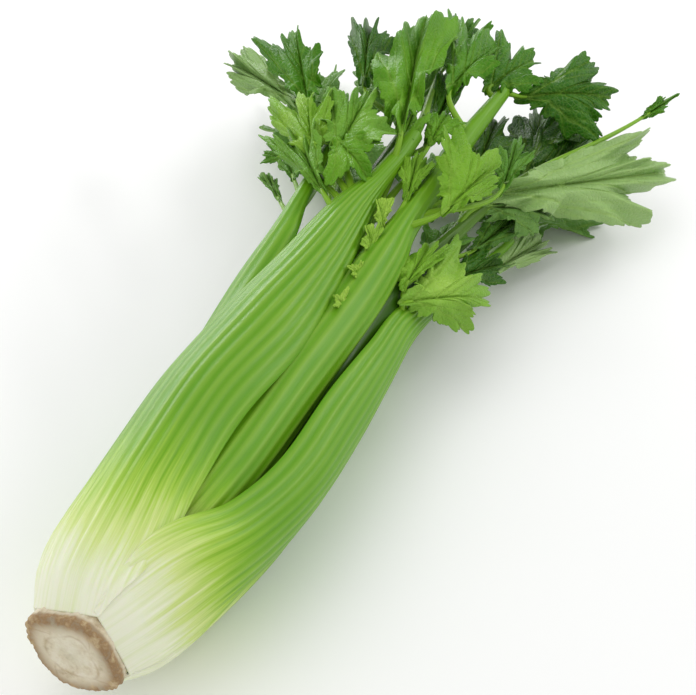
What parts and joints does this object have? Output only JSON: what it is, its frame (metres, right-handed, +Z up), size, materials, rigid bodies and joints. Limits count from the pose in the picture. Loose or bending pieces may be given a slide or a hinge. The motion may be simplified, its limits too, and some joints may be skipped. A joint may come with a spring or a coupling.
{
  "type": "head of celery",
  "caption": "Whole head of celery lying on its side: cut butt, nested ribbed stalks and toothed leaves.",
  "frame": {"origin": "middle of the head's footprint, on the surface it lies on", "axes": "+X along the head from its cut butt towards its leaves, +Z up"},
  "size_m": [0.472, 0.2478, 0.1013],
  "materials": {
    "butt": "matte",
    "stalk": "satin",
    "heart": "satin",
    "leaf": "satin"
  },
  "bodies": {
    "root": {"butt": "butt", "outer_stalk_1": "stalk", "outer_stalk_2": "stalk", "outer_stalk_3": "stalk", "outer_stalk_4": "stalk", "middle_stalk_1": "stalk", "middle_stalk_2": "stalk", "middle_stalk_3": "stalk", "middle_stalk_4": "stalk", "middle_stalk_5": "stalk", "middle_stalk_6": "stalk", "middle_stalk_7": "stalk", "heart_stalk_1": "heart", "heart_stalk_2": "heart", "leaf_01": "leaf", "leaf_02": "leaf", "leaf_03": "leaf", "leaf_04": "leaf", "leaf_05": "leaf", "leaf_06": "leaf", "leaf_07": "leaf", "leaf_08": "leaf", "leaf_09": "leaf", "leaf_10": "leaf", "leaf_11": "leaf", "leaf_12": "leaf", "leaf_13": "leaf", "leaf_14": "leaf", "leaf_15": "leaf", "leaf_16": "leaf", "leaf_17": "leaf", "leaf_18": "leaf", "leaf_19": "leaf", "leaf_20": "leaf", "leaf_21": "leaf", "leaf_22": "leaf", "leaf_23": "leaf", "leaf_24": "leaf", "leaf_25": "leaf", "leaf_26": "leaf", "leaf_27": "leaf", "leaf_28": "leaf", "leaf_29": "leaf", "leaf_30": "leaf", "leaf_31": "leaf", "leaf_32": "leaf", "leaf_33": "leaf", "leaf_34": "leaf", "leaf_35": "leaf", "leaf_36": "leaf", "leaf_37": "leaf", "leaf_38": "leaf", "leaf_39": "leaf", "leaf_40": "leaf", "leaf_41": "leaf", "leaf_42": "leaf", "leaf_43": "leaf", "leaf_44": "leaf", "leaf_45": "leaf"}
  },
  "joints": []
}
